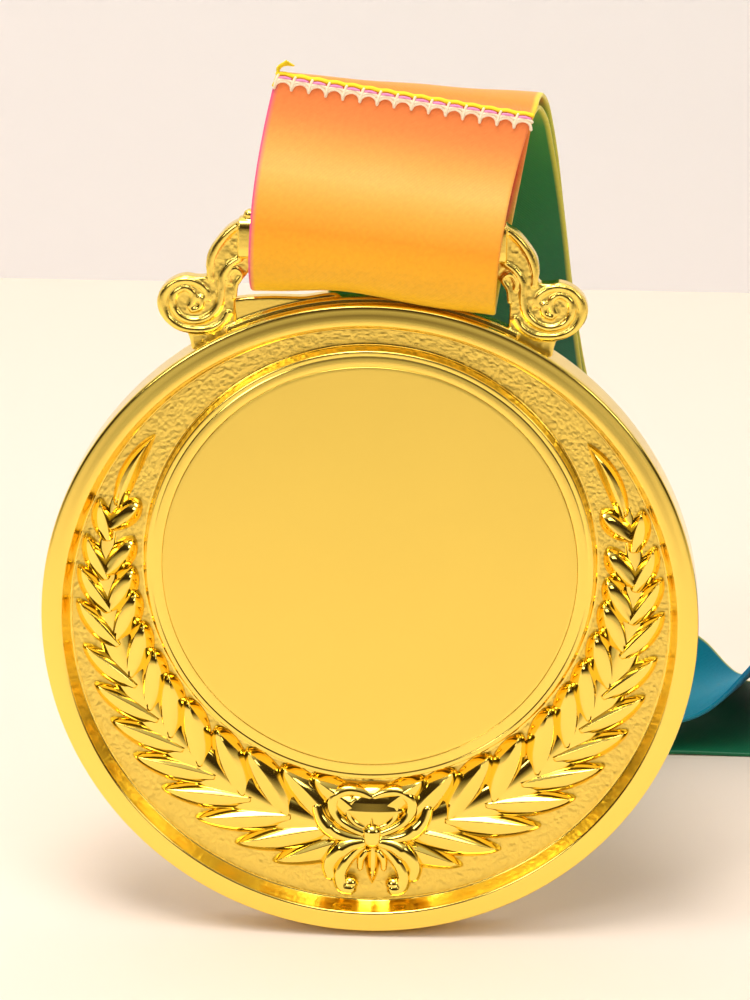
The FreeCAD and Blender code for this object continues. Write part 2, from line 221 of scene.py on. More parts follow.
def material(name, base, roughness, metallic=0.0, specular=0.5):
    """A principled material; returns it with its nodes, links and shader."""
    m = bpy.data.materials.new(name)
    m.use_nodes = True
    shader = m.node_tree.nodes["Principled BSDF"]
    shader.inputs["Base Color"].default_value = (*base, 1)
    shader.inputs["Roughness"].default_value = roughness
    shader.inputs["Metallic"].default_value = metallic
    shader.inputs["Specular IOR Level"].default_value = specular
    return m, m.node_tree.nodes, m.node_tree.links, shader


def uneven(nodes, links, socket, scale, low, high, detail=3.0):
    """A fine noise between two values into a socket."""
    noise = nodes.new("ShaderNodeTexNoise")
    place = nodes.new("ShaderNodeTexCoord")
    links.new(place.outputs["Object"], noise.inputs["Vector"])
    noise.inputs["Scale"].default_value = scale
    noise.inputs["Detail"].default_value = detail
    spread = nodes.new("ShaderNodeMapRange")
    spread.inputs["To Min"].default_value = low
    spread.inputs["To Max"].default_value = high
    links.new(noise.outputs["Fac"], spread.inputs["Value"])
    links.new(spread.outputs["Result"], socket)
    return noise


def bumpy(nodes, links, shader, height, strength, distance):
    """Relief from a height socket."""
    bump = nodes.new("ShaderNodeBump")
    bump.inputs["Strength"].default_value = strength
    bump.inputs["Distance"].default_value = distance
    links.new(height, bump.inputs["Height"])
    links.new(bump.outputs["Normal"], shader.inputs["Normal"])
    return bump


GOLD = (0.985, 0.735, 0.15)


def gold(name, rough_low, rough_high, relief):
    """Bright gilding; rougher with a cast grain where the mesh says so."""
    m, nodes, links, shader = material(name, GOLD, rough_low, 1.0)
    grain = nodes.new("ShaderNodeAttribute")
    grain.attribute_name = "grain"
    mix = nodes.new("ShaderNodeMapRange")
    mix.inputs["To Min"].default_value = rough_low
    mix.inputs["To Max"].default_value = rough_high
    links.new(grain.outputs["Fac"], mix.inputs["Value"])
    links.new(mix.outputs["Result"], shader.inputs["Roughness"])
    noise = nodes.new("ShaderNodeTexNoise")
    place = nodes.new("ShaderNodeTexCoord")
    links.new(place.outputs["Object"], noise.inputs["Vector"])
    noise.inputs["Scale"].default_value = 2600
    noise.inputs["Detail"].default_value = 2
    height = nodes.new("ShaderNodeMath")
    height.operation = "MULTIPLY"
    links.new(noise.outputs["Fac"], height.inputs[0])
    links.new(grain.outputs["Fac"], height.inputs[1])
    bumpy(nodes, links, shader, height.outputs[0], relief, 0.00006)
    return m


casting_gold = gold("gilt_casting", 0.13, 0.36, 1.0)
relief_gold = gold("gilt_relief", 0.1, 0.3, 0.6)



def plain(name, base, roughness, metallic, scale, low, high):
    """A material of one colour whose roughness wanders a little."""
    m, nodes, links, shader = material(name, base, roughness, metallic)
    uneven(nodes, links, shader.inputs["Roughness"], scale, low, high)
    return m


plate_gold = plain("satin_plate", (0.985, 0.745, 0.15), 0.3, 1.0, 90, 0.26, 0.32)
film = plain("adhesive_film", (0.8, 0.74, 0.5), 0.6, 0.0, 300, 0.55, 0.7)


def thread_material(name, colour):
    """Matt sewing thread with a twist."""
    m, nodes, links, shader = material(name, colour, 0.6, 0.0, 0.3)
    noise = uneven(nodes, links, shader.inputs["Roughness"], 4000, 0.5, 0.75)
    bumpy(nodes, links, shader, noise.outputs["Fac"], 0.5, 0.00008)
    return m


def ribbon_material():
    """Printed satin: the colour, print with a painted satin highlight, comes with the mesh, with a fine
    diagonal weave.
    """
    m, nodes, links, shader = material("satin_ribbon", (0.9, 0.4, 0.1), 0.42, 0.0, 0.35)
    colour = nodes.new("ShaderNodeAttribute")
    colour.attribute_name = "colour"
    along = nodes.new("ShaderNodeAttribute")
    along.attribute_name = "along"
    across = nodes.new("ShaderNodeAttribute")
    across.attribute_name = "across"
    cloth = nodes.new("ShaderNodeCombineXYZ")
    links.new(across.outputs["Fac"], cloth.inputs["X"])
    links.new(along.outputs["Fac"], cloth.inputs["Y"])
    twill = nodes.new("ShaderNodeTexWave")
    twill.bands_direction = "DIAGONAL"
    twill.inputs["Scale"].default_value = 1.7
    twill.inputs["Distortion"].default_value = 2.5
    twill.inputs["Detail"].default_value = 3.0
    twill.inputs["Detail Scale"].default_value = 3.0
    links.new(cloth.outputs["Vector"], twill.inputs["Vector"])
    bumpy(nodes, links, shader, twill.outputs["Fac"], 0.35, 0.00003)
    noise = nodes.new("ShaderNodeTexNoise")
    noise.inputs["Scale"].default_value = 2.2
    noise.inputs["Detail"].default_value = 4.0
    links.new(cloth.outputs["Vector"], noise.inputs["Vector"])
    tone = nodes.new("ShaderNodeMapRange")
    tone.inputs["To Min"].default_value = 0.86
    tone.inputs["To Max"].default_value = 1.12
    links.new(noise.outputs["Fac"], tone.inputs["Value"])
    shade = nodes.new("ShaderNodeVectorMath")
    shade.operation = "SCALE"
    links.new(colour.outputs["Color"], shade.inputs[0])
    links.new(tone.outputs["Result"], shade.inputs["Scale"])
    links.new(shade.outputs["Vector"], shader.inputs["Base Color"])
    shader.inputs["Sheen Weight"].default_value = 0.06
    shader.inputs["Sheen Roughness"].default_value = 0.4
    return m


# ---------------------------------------------------------------- casting


def rounding(r, z, radius, start, end, count=7):
    """Points round an arc about (r, z), angles in degrees, 0 outwards and 90 to the front."""
    turns = np.radians(np.linspace(start, end, count))
    return [(r + radius * math.cos(t), z + radius * math.sin(t)) for t in turns]


def casting():
    """The disc as a stack of rings from the seat's floor, over the rim, to the middle of the back."""
    rings = [(PLATEAU_Y, r, z, 0) for r, z in [(19.0, SEAT_Z), (20.4, SEAT_Z), (20.5, SEAT_Z)]]
    ledge = [(20.5, 1.4), (20.5, 1.84)] + rounding(20.56, PLATEAU_Z - 0.06, 0.06, 180, 90, 5)
    ledge += [(20.9, PLATEAU_Z), (21.42, PLATEAU_Z), (21.47, PLATEAU_Z - 0.01)]
    ledge += [(21.54, PLATEAU_Z - 0.07), (21.57, PLATEAU_Z - 0.07), (21.64, PLATEAU_Z - 0.01)]
    ledge += [(21.69, PLATEAU_Z)]
    ledge += rounding(PLATEAU_TOP_RADIUS - 0.14, PLATEAU_Z - 0.2, 0.2, 85, 15, 6)
    ledge += [(22.14, 1.45), (22.25, 1.1), (22.33, 0.84)]
    ledge += rounding(PLATEAU_RADIUS + 0.12, FIELD_Z + 0.16, 0.16, 195, 265, 5)
    rings += [(PLATEAU_Y, r, z, 0) for r, z in ledge]
    inner = PLATEAU_RADIUS + 0.18
    outer = SLOPE_FOOT - 0.08
    for t in np.linspace(0.02, 0.98, 76):
        rings.append((PLATEAU_Y * (1 - t), inner + (outer - inner) * t, FIELD_Z, 1))
    rim = rounding(outer, FIELD_Z + 0.16, 0.16, -90, -25, 5)
    rim += [(29.98, 1.1), (30.16, 1.55), (30.33, 1.95)]
    rim += rounding(30.62, 2.26, 0.24, 158, 92, 6)
    rim += [(30.8, 2.5), (30.95, 2.5), (31.15, 2.49), (31.5, 2.45), (31.7, 2.43), (31.95, 2.415)]
    rim += rounding(DISC_RADIUS - 0.35, 2.05, 0.35, 84, 0, 8)
    rim += [(DISC_RADIUS, 1.2), (DISC_RADIUS, 0), (DISC_RADIUS, -1.2)]
    rim += rounding(DISC_RADIUS - 0.5, -2.0, 0.5, 0, -90, 8)
    rim += [(31.2, -2.5)] + rounding(30.7, -2.35, 0.15, -92, -150, 4)
    rim += [(29.95, BACK_FIELD_Z - 0.04), (29.75, BACK_FIELD_Z)]
    rings += [(0.0, r, z, 0) for r, z in rim]
    for t in np.linspace(0.03, 0.97, 24):
        rings.append((PLATEAU_Y * t, 29.75 + (22.5 - 29.75) * t, BACK_FIELD_Z, 1))
    back = [(22.4, BACK_FIELD_Z), (22.3, -1.8), (22.12, -2.02), (22.0, -2.1), (21.0, -2.1), (6.0, -2.1)]
    rings += [(PLATEAU_Y, r, z, 0) for r, z in back]
    turn = np.linspace(0, 2 * math.pi, SEGMENTS, endpoint=False)
    table = np.array(rings)
    x = table[:, 1:2] * np.cos(turn)
    y = table[:, 0:1] + table[:, 1:2] * np.sin(turn)
    grain = np.repeat(table[:, 3:4], SEGMENTS, 1)
    rough = lumps(x, y, 0.2) * 0.02 + lumps(x + 40, y, 0.31) * 0.016
    z = table[:, 2:3] + grain * rough
    points, faces = skin(np.stack([x, y, z], -1))
    place = on_medal(points)
    disc = make("casting_disc", place, faces, casting_gold, "medal", ["medal_disc"])
    point_values(disc, "grain", grain)
    return disc


def lathe(profile, segments):
    """Rings round the plateau's centre from (radius, z) pairs."""
    turn = np.linspace(0, 2 * math.pi, segments, endpoint=False)
    rings = []
    for r, z in profile:
        level = np.full(segments, z)
        rings.append(np.stack([r * np.cos(turn), PLATEAU_Y + r * np.sin(turn), level], -1))
    return skin(rings)


def centre_plate():
    """The thin blank plate and the film that holds it."""
    low = SEAT_Z + 0.1
    edge = PLATE_RADIUS + 0.08
    profile = [(17.0, low), (edge - 0.03, low), (edge, low + 0.03), (edge, 1.8)]
    profile += rounding(edge - 0.07, PLATE_Z - 0.07, 0.07, 5, 88, 6)
    profile += [(20.1, PLATE_Z), (19.4, PLATE_Z), (10.0, PLATE_Z)]
    points, faces = lathe(profile, 720)
    make("plate_blank", on_medal(points), faces, plate_gold, "medal", ["centre_plate"])
    points, faces = lathe([(18.0, SEAT_Z), (20.0, SEAT_Z), (20.0, low), (18.0, low)], 240)
    make("plate_film", on_medal(points), faces, film, "medal", ["plate_adhesive"])


# ---------------------------------------------------------------- hanger


def slab(outline, low, high, edge=0.25):
    """A closed outline raised from low to high with softened edges."""
    line = np.asarray(outline, float)
    middle = line.mean(0)
    behind = np.roll(line, 1, 0)
    ahead = np.roll(line, -1, 0)
    run = ahead - behind
    out = np.stack([run[:, 1], -run[:, 0]], -1)
    out /= np.linalg.norm(out, axis=1)[:, None]
    area = (line[:, 0] * ahead[:, 1] - ahead[:, 0] * line[:, 1]).sum()
    if area < 0:
        out = -out
    rings = []
    steps = [(edge, low), (0, low + edge), (0, high - edge), (edge * 0.3, high - edge * 0.3), (edge, high)]
    for inset, z in steps:
        flat = line - out * inset
        rings.append(np.concatenate([flat, np.full((len(line), 1), z)], 1))
    return skin(rings)


def mirrored(part):
    """The same points and faces on the other side of the medal."""
    points, faces = part
    flipped = np.array(points) * (-1, 1, 1)
    return flipped, [list(reversed(face)) for face in faces]


def lifted(line, z):
    """A flat line at a height, as a smooth one."""
    p = np.asarray(line, float)
    if p.shape[1] == 2:
        p = np.concatenate([p, np.full((len(p), 1), z)], 1)
    return smooth_line(p, 0.12)


def tapered(count, start, middle, end):
    """Radii that swell from the start to the middle and thin to the end."""
    t = np.linspace(0, 1, count)
    return np.interp(t, [0, 0.4, 1], [start, middle, end])


# The cheeks are finally drawn a little wider and lower than the CAD's.
BRACKET_BACK = -1.2
CHEEK_Z = 0.62
CHEEK_WIDER = 1.04
CHEEK_LOWER = 0.92


def cheek():
    """One side of the hanger: a shoulder, a knob, a hook and a spiral scroll, with raised borders."""
    outline = [
        (13.3, 30.2), (13.35, 32.0), (13.3, 33.6), (12.6, 34.9), (11.8, 36.2), (11.5, 37.6), (11.4, 39.2),
        (11.2, 40.6), (11.3, 41.9), (12.1, 42.3), (12.9, 41.4), (14.0, 40.6), (15.1, 39.2), (15.9, 37.7),
        (16.1, 36.3), (16.1, 35.2), (16.9, 35.1), (18.0, 35.25), (19.3, 34.75), (20.3, 33.7), (20.7, 32.3),
        (20.3, 30.7), (19.2, 29.6), (18.0, 29.2), (17.6, 28.2), (17.4, 27.2), (15.2, 27.6), (13.6, 28.8),
    ]
    closed = smooth_line(outline + outline[:1], 0.2)[:-1]
    parts = [slab(closed, BRACKET_BACK, CHEEK_Z)]
    border = lifted(
        [(11.7, 41.6), (12.6, 41.1), (13.8, 40.1), (14.9, 38.6), (15.5, 37.1), (15.7, 35.8), (15.6, 34.8)],
        CHEEK_Z,
    )
    parts.append(tube(border, tapered(len(border), 0.36, 0.42, 0.3), 12, 0.7))
    scroll = lifted(
        [
            (13.9, 31.4), (14.5, 30.3), (15.6, 29.5), (17.0, 29.3), (18.5, 29.6), (19.6, 30.5),
            (20.15, 32.0),
            (19.9, 33.4), (19.0, 34.4), (17.8, 34.7), (16.8, 34.4), (16.0, 33.6), (15.9, 32.7),
        ],
        0.58,
    )
    parts.append(tube(scroll, tapered(len(scroll), 0.36, 0.42, 0.36), 12, 0.7))
    spiral = lifted(
        [
            (12.8, 37.3), (13.8, 36.5), (14.5, 35.2), (14.6, 33.6), (14.9, 32.0),
            (15.8, 30.8), (17.2, 30.3), (18.6, 30.9), (19.2, 32.2), (18.9, 33.4),
            (18.0, 33.9), (17.3, 33.4), (17.3, 32.5), (17.6, 31.8),
        ],
        CHEEK_Z,
    )
    parts.append(tube(spiral, tapered(len(spiral), 0.32, 0.42, 0.34), 12, 0.75))
    eye = lifted([(16.6, 33.0), (16.5, 32.3), (16.8, 31.7), (17.4, 31.5)], 0.6)
    parts.append(tube(eye, 0.34))
    hook = lifted(
        [(13.4, 33.0), (13.2, 34.5), (12.7, 35.6), (13.3, 36.1), (13.9, 35.4), (13.9, 34.4)],
        0.55,
    )
    parts.append(tube(hook, 0.26))
    knob = lifted([(11.6, 41.0), (11.5, 41.8), (12.2, 42.0)], 0.35)
    parts.append(tube(knob, 0.55))
    return parts


def hanger():
    """The bracket over the disc: two cheeks, the bar and a low web, melted into one casting."""
    parts = []
    for points, faces in cheek():
        points = np.array(points)
        points[:, 0] = 13.0 + (points[:, 0] - 13.0) * CHEEK_WIDER
        points[:, 1] = 28.0 + (points[:, 1] - 28.0) * CHEEK_LOWER
        parts += [(points, faces), mirrored((points, faces))]
    turn = np.linspace(0, 2 * math.pi, 40, endpoint=False)
    c, s = np.cos(turn), np.sin(turn)
    y = 38.5 + 2.0 * np.sign(c) * np.abs(c) ** 0.5
    z = 1.4 * np.sign(s) * np.abs(s) ** 0.5
    ends = [np.stack([np.full(40, x), y, z], -1) for x in np.linspace(-13.0, 13.0, 30)]
    parts.append(skin(ends))
    arc = np.radians(np.linspace(64, 116, 60))
    high = np.stack([32.85 * np.cos(arc), 32.85 * np.sin(arc)], -1)
    deep = np.stack([31.4 * np.cos(arc[::-1]), 31.4 * np.sin(arc[::-1])], -1)
    parts.append(slab(np.concatenate([high, deep]), BRACKET_BACK, 0.85, 0.2))
    corner = [
        (-14.2, 28.6), (-14.2, 32.1), (-13.0, 32.4), (-11.0, 32.6),
        (-7.0, 32.65), (-3.0, 32.6), (-3.0, 31.6), (-9.0, 30.4),
    ]
    outline = smooth_line(np.array(corner + corner[:1]), 0.3)[:-1]
    parts.append(slab(outline, BRACKET_BACK, 0.3, 0.2))
    points, faces = together(parts)
    draft = make("hanger_draft", points, faces, relief_gold, "medal")
    melt = draft.modifiers.new("melt", "REMESH")
    melt.mode = "VOXEL"
    melt.voxel_size = 0.00009
    soften = draft.modifiers.new("soften", "SMOOTH")
    soften.iterations = 6
    soften.factor = 0.5
    bpy.context.view_layer.update()
    done = bpy.data.meshes.new_from_object(draft.evaluated_get(bpy.context.evaluated_depsgraph_get()))
    count = len(done.vertices)
    flat = np.zeros(count * 3)
    done.vertices.foreach_get("co", flat)
    points = flat.reshape(-1, 3) / MM
    faces = [list(p.vertices) for p in done.polygons]
    bpy.data.objects.remove(draft)
    low = (points[:, 2] < 0.72) & (points[:, 2] > 0.4)
    points[:, 2] += np.where(low, 0.03 * lumps(points[:, 0], points[:, 1], 0.35), 0)
    place = on_medal(points)
    piece = make("hanger", place, faces, casting_gold, "medal", ["hanger_bracket"])
    point_values(piece, "grain", np.where(low, 0.7, 0.15))


# ---------------------------------------------------------------- wreath


def polar(radius, degrees):
    """A point about the wreath's centre, which is 5.8 above the disc's."""
    a = math.radians(degrees)
    return np.array([radius * math.cos(a), 5.8 + radius * math.sin(a)])


def stem_at(degrees):
    """The stem's middle line, from its tip near 166 degrees to the bow near 263."""
    return polar(25.9 + 0.024 * (degrees - 170), degrees)


def leaf(tip, base, width, height, crest=-0.3, bend=0.0, blunt=3.0, shelf=0.62, low=0.35, ridge=0.1):
    """A leaf whose ridge runs beside one edge and is highest near the tip."""
    tip = np.asarray(tip, float)
    base = np.asarray(base, float)
    along = tip - base
    length = np.linalg.norm(along)
    along /= length
    across = np.array([-along[1], along[0]])
    rings = []
    for u in np.concatenate([np.linspace(0, 0.85, 22), np.linspace(0.88, 0.995, 10)]):
        middle = base + along * length * u + across * bend * 4 * u * (1 - u)
        half = width / 2 * (1 - u ** blunt) ** 0.62 * (1 - 0.55 * (1 - u) ** 3)
        top = height * (low + (1 - low) * u ** 0.9) * (1 - u ** 9) ** 0.5
        v = np.concatenate([np.linspace(-1, crest - 0.16, 8), np.linspace(crest - 0.1, crest + 0.1, 7),
                            np.linspace(crest + 0.16, 1, 12)])
        steep = np.clip((1 + v) / (1 + crest), 0, 1)
        broad = np.clip((1 - v) / (1 - crest), 0, 1)
        near = steep ** 0.75
        wide = (1 - (1 - broad) ** 5) * (shelf + (1 - shelf) * broad)
        rise = -ridge * np.log(np.exp(-near / ridge) + np.exp(-wide / ridge)) / (1 - 0.693 * ridge)
        rise = np.clip(rise, 0, 1.02)
        vein = 0.1 * np.exp(-((v - 0.35) / 0.16) ** 2) * max(0.0, 1 - u / 0.5) ** 2
        z = FIELD_Z - 0.1 + (top + 0.1) * (rise - vein * (rise > 0.2))
        flat = middle[None] + across[None] * (v * half)[:, None]
        upper = np.concatenate([flat, z[:, None]], 1)
        under = np.concatenate([flat[::-3], np.full((len(flat[::-3]), 1), FIELD_Z - 0.25)], 1)
        rings.append(np.concatenate([upper, under]))
    return skin(rings)


OUTER_TIPS = [167, 175, 181.5, 188.5, 197.5, 205.5, 213, 221, 229, 237.2, 245.6, 253]
INNER_TIPS = [165, 174.6, 182, 188, 196.1, 203.7, 210.4, 218.4, 228.6, 238, 247.6, 255.5]


def branch():
    """The left branch: stem, twelve pairs of leaves and an end leaf, drawn in the medal's frame."""
    parts = []
    stem = np.array([[*stem_at(d), FIELD_Z - 0.1] for d in np.linspace(166, 263, 90)])
    parts.append(tube(stem, tapered(90, 0.5, 1.9, 2.1), 20, 0.36))
    for i, (outer, inner) in enumerate(zip(OUTER_TIPS, INNER_TIPS)):
        share = i / 11
        length = 4.6 + 4.9 * share
        outer_tip = polar(27.5 + 5.5 * share ** 0.8, outer)
        inner_tip = polar(23.5 - 0.6 * share, inner)
        outer_base = stem_at(outer + 1.95 * length)
        inner_base = stem_at(inner + 1.75 * length)
        grow = 0.6 + 0.4 * min(1, share * 1.6)
        outer_width = 2.7 + 1.0 * share
        inner_width = 3.0 + 1.1 * share
        parts.append(leaf(outer_tip, outer_base, outer_width, 1.35, -0.42, 0.3 * grow, 2.4, 0.55, 0.55))
        parts.append(leaf(inner_tip, inner_base, inner_width, 1.65, -0.12, -0.2, 3.6, 0.5, 0.45, 0.08))
    parts.append(leaf((-21.2, 18.6), (-24.9, 11.2), 2.7, 1.2, 0.05, 0.5, 1.7, 0.5, 0.6))
    return parts


BOW_SHIFT = 0.45


def bow():
    """The tie: a filled heart with an inner heart, a bud, a knot, a drop and curled ends in pairs."""
    one_side = [
        (
            [(0.0, -18.5), (1.3, -17.9), (2.6, -17.8), (3.7, -18.4),
             (4.0, -19.6), (3.4, -20.8), (2.2, -21.7), (0.9, -22.3)],
            0.55, 0.75, 0.55,
        ),
        (
            [(0.0, -18.9), (1.2, -18.6), (2.2, -19.2), (2.3, -20.4), (1.6, -21.3), (0.8, -21.7)],
            0.4, 0.5, 0.4,
        ),
        ([(5.6, -19.4), (5.0, -21.0), (3.8, -22.2), (2.2, -22.8), (0.8, -23.0)], 0.6, 0.95, 0.6),
        ([(0.8, -23.2), (2.4, -23.6), (3.7, -24.6), (4.3, -25.9), (4.1, -27.0)], 0.7, 1.1, 0.7),
        (
            [(0.9, -23.5), (1.9, -24.4), (2.8, -25.6), (3.2, -27.0), (2.8, -28.1), (2.0, -28.2)],
            0.55, 0.8, 0.8,
        ),
        ([(0.6, -24.2), (1.1, -25.0), (1.2, -26.2)], 0.4, 0.45, 0.3),
    ]
    parts = []
    for line, start, middle, end in one_side:
        path = lifted(line, FIELD_Z + 0.5)
        strand = tube(path, tapered(len(path), start, middle, end), 14, 1.25)
        parts += [strand, mirrored(strand)]
    ball = lifted([(2.2, -27.8), (2.15, -27.5)], FIELD_Z + 0.5)
    curl = tube(ball, 0.85, 18)
    parts += [curl, mirrored(curl)]
    heart = lifted([(0, -18.9), (0, -19.8), (0, -21.2), (0, -22.4)], FIELD_Z + 0.35)
    swell = np.interp(np.linspace(0, 1, len(heart)), [0, 0.3, 1], [2.9, 3.4, 0.7])
    parts.append(tube(heart, swell, 40, 0.33))
    knot = lifted([(0, -22.0), (0, -23.2)], FIELD_Z + 0.7)
    parts.append(tube(knot, 1.0, 18, 0.8))
    parts.append(leaf((0, -19.3), (0, -22.0), 1.5, 1.5, 0.0, 0, 3.0, 0.4, 0.7))
    parts.append(leaf((0, -27.9), (0, -22.8), 2.0, 1.3, 0.0, 0, 2.4, 0.5, 0.8))
    return [(np.array(p) + (BOW_SHIFT, 0, 0), f) for p, f in parts]


def wreath():
    """Both branches and the bow."""
    left = together(branch())
    right = mirrored(left)
    tie = together(bow())
    for name, (points, faces), node in [
        ("branch_left", left, "laurel_branch_left"),
        ("branch_right", right, "laurel_branch_right"),
        ("branch_tie", tie, "laurel_bow"),
    ]:
        make(name, on_medal(points), faces, relief_gold, "medal", [node])


# ---------------------------------------------------------------- ribbon

LOOP_UP = np.array([math.sin(LOOP_TURN), math.cos(LOOP_TURN), 0.0])
LOOP_ALONG = np.array([math.cos(LOOP_TURN), -math.sin(LOOP_TURN), 0.0])


def on_loop(x, y, z):
    """A point of the loop's profile (up, out of the face, along the width), in the row frame."""
    centre = np.array([LOOP_CENTRE[0], LOOP_CENTRE[1], 0.0])
    return on_medal(centre + LOOP_UP * x + np.array([0, 0, 1.0]) * y + LOOP_ALONG * z)


def loop_profile():
    """The loop's line from the top of its front side, round the bar, to the top of its back side."""
    inward = LOOP_RADIUS - LAYER
    radius = (inward ** 2 + LOOP_HEIGHT ** 2) / (4 * inward)
    angle = math.asin(LOOP_HEIGHT / 2 / radius)
    at = np.array([LOOP_HEIGHT, LAYER])
    heading = math.pi
    points = [at]
    bends = [(radius, -angle), (radius, angle), (LOOP_RADIUS, math.pi), (radius, angle), (radius, -angle)]
    for bend_radius, turn in bends:
        steps = max(2, int(abs(turn) * bend_radius / 0.9))
        for _ in range(steps):
            part = turn / steps
            chord = 2 * bend_radius * math.sin(abs(part) / 2)
            heading += part / 2
            at = at + chord * np.array([math.cos(heading), math.sin(heading)])
            heading += part / 2
            points.append(at)
    return np.array(points)


REAR_RIGHT = [
    (15.7, 10.8, 83.2), (15.9, 12.6, 83.5), (16.2, 15.2, 83.1), (16.6, 18.2, 81.4), (17.3, 22.0, 76.5),
    (18.3, 27.5, 66.0), (19.4, 32.5, 54.5), (21.1, 38.0, 42.5), (24.0, 44.5, 29.0), (28.3, 51.2, 13.2),
    (34.4, 54.6, 3.4), (39.6, 54.2, 0.3), (50.0, 61.8, 0.25),
]
REAR_LEFT = [
    (-9.1, 10.9, 86.1), (-8.6, 11.8, 85.9), (-8.0, 12.9, 85.1), (-7.2, 14.4, 83.2), (-6.4, 17.5, 78.6),
    (-5.2, 21.0, 68.5), (-3.6, 24.5, 57.0), (-1.4, 28.0, 44.5), (2.2, 31.6, 30.5), (8.0, 35.4, 14.5),
    (21.0, 36.8, 0.9), (34.0, 36.8, 0.3), (50.0, 36.8, 0.25),
]
FRONT_RIGHT = [
    (15.7, 12.2, 82.6), (16.0, 14.2, 82.2), (16.5, 16.7, 80.5), (17.3, 20.3, 75.3), (18.5, 25.5, 65.0),
    (19.5, 30.2, 53.6), (21.1, 35.0, 41.2), (23.8, 40.0, 27.8), (28.2, 45.4, 14.4), (34.1, 52.0, 6.4),
    (38.9, 53.8, 1.3), (43.2, 57.5, 6.0), (47.0, 61.6, 14.6), (50.0, 61.8, 16.35),
]
FRONT_LEFT = [
    (-8.9, 11.4, 85.0), (-8.2, 12.2, 84.1), (-7.6, 13.3, 82.7), (-6.8, 15.9, 77.7), (-5.7, 19.1, 67.3),
    (-4.3, 22.2, 55.9), (-2.2, 25.4, 43.2), (1.2, 28.8, 29.1), (8.4, 33.0, 14.4), (22.0, 36.4, 3.6),
    (33.0, 36.8, 4.8), (41.0, 36.8, 13.0), (46.5, 36.8, 16.05), (50.0, 36.8, 16.35),
]


def fold_stations():
    """The put-away part: eight layers one above the other, turned back at each end."""
    stations = []
    for layer in range(8):
        z = 0.25 + 2.3 * layer
        runs = np.linspace(50, 120, 9)
        if layer % 2:
            runs = runs[::-1]
        for x in runs:
            wave = 0.22 * math.sin(x * 0.13 + layer * 1.7) * (0 < layer < 7)
            stations.append(((x, 36.8, z + wave), (x, 61.8, z + wave * 0.6)))
        if layer < 7:
            side = -1 if layer % 2 else 1
            for turn in (30, 60, 90, 120, 150):
                a = math.radians(turn)
                x = runs[-1] + side * 1.3 * math.sin(a)
                level = z + 1.15 - 1.15 * math.cos(a)
                stations.append(((x, 36.8, level), (x, 61.8, level)))
    return stations


def ribbon_stations():
    """(left, right) edges of the whole ribbon, from the seam's front side round to its back."""
    stations = []
    profile = loop_profile()
    half = RIBBON_WIDTH / 2
    for x, y in profile:
        down = min(1.0, max(0.0, (LOOP_HEIGHT - x) / (LOOP_HEIGHT + LOOP_RADIUS)))
        shift = -0.8 * math.sin(math.pi * down) ** 0.9 if y > 0 else 0.0
        rise = 0.7 * (1 - down) ** 2 if y > 0 else 0.0
        drop = 1.9 * (down * down * (3 - 2 * down)) ** 1.5
        cup = FOOT_DRAWN_IN * down
        left = on_loop(x + rise - drop, y, shift - half + cup)
        right = on_loop(x + rise - drop * 0.15, y, shift + half - 0.5 * cup)
        stations.append((left, right))
    stations += list(zip(REAR_LEFT[:-1], REAR_RIGHT[:-1]))
    stations += fold_stations()
    stations += list(zip(FRONT_LEFT[:-1], FRONT_RIGHT[:-1]))[::-1]
    stations.append((on_loop(LOOP_HEIGHT + 0.2, -1.08, -half), on_loop(LOOP_HEIGHT + 0.2, -1.08, half)))
    return np.array([np.concatenate(s) for s in stations])


# The ribbon's colours: distance along the ribbon from the seam, then the colour. Mostly the print, with a
# painted satin highlight near the seam.
PRINT_AND_SHEEN = [
    # Painted satin highlight: the paler keys from 6.5 to 11.5 across the front of the loop.
    (0.0, (250, 134, 74)), (3.5, (254, 148, 76)), (6.5, (255, 176, 82)), (9.0, (255, 190, 92)),
    (11.5, (254, 176, 66)), (14.0, (254, 162, 40)), (17.0, (255, 184, 34)), (21.0, (255, 206, 34)),
    (26.0, (250, 225, 40)), (30.0, (235, 225, 50)), (35.0, (245, 130, 110)), (40.0, (240, 80, 45)),
    (44.0, (248, 120, 50)), (47.0, (255, 146, 50)), (51.0, (252, 160, 60)), (55.0, (70, 165, 60)),
    (64.0, (10, 128, 66)), (80.0, (0, 112, 78)), (110.0, (0, 115, 80)), (160.0, (14, 105, 66)),
    (240.0, (0, 120, 160)),
    (320.0, (60, 70, 170)), (400.0, (170, 70, 160)), (480.0, (240, 110, 130)), (560.0, (250, 160, 60)),
    (620.0, (230, 205, 60)), (680.0, (30, 140, 110)), (725.0, (0, 75, 150)), (740.0, (0, 98, 165)),
    (752.0, (0, 128, 155)), (768.0, (0, 135, 132)), (790.0, (8, 112, 92)), (815.0, (6, 104, 76)),
    (836.0, (20, 130, 62)), (843.0, (60, 150, 60)), (847.0, (150, 185, 60)), (850.0, (210, 205, 60)),
]


def ribbon_colours(along, across):
    """The colours: bands along the ribbon, mostly print with a painted satin highlight near the seam, a
    pink edge on the left and a yellow one on the right.
    """
    keys = np.array([k for k, _ in PRINT_AND_SHEEN])
    table = np.array([linear(*c) for _, c in PRINT_AND_SHEEN])
    colour = np.stack([np.interp(along, keys, table[:, k]) for k in range(3)], -1)
    left = np.clip((-across - 12.05) / 0.35, 0, 1)[..., None]
    right = np.clip((across - 11.9) / 0.4, 0, 1)[..., None]
    near_seam = (along < 46)[..., None]
    colour = np.where(near_seam, colour * (1 - left) + left * np.array(linear(240, 90, 140)), colour)
    edge = np.array(linear(240, 228, 70))
    right = right * np.interp(along, [20, 24, 34, 44, 46], [0, 0.9, 0.6, 0.1, 0.85])[..., None]
    return colour * (1 - right) + edge * right


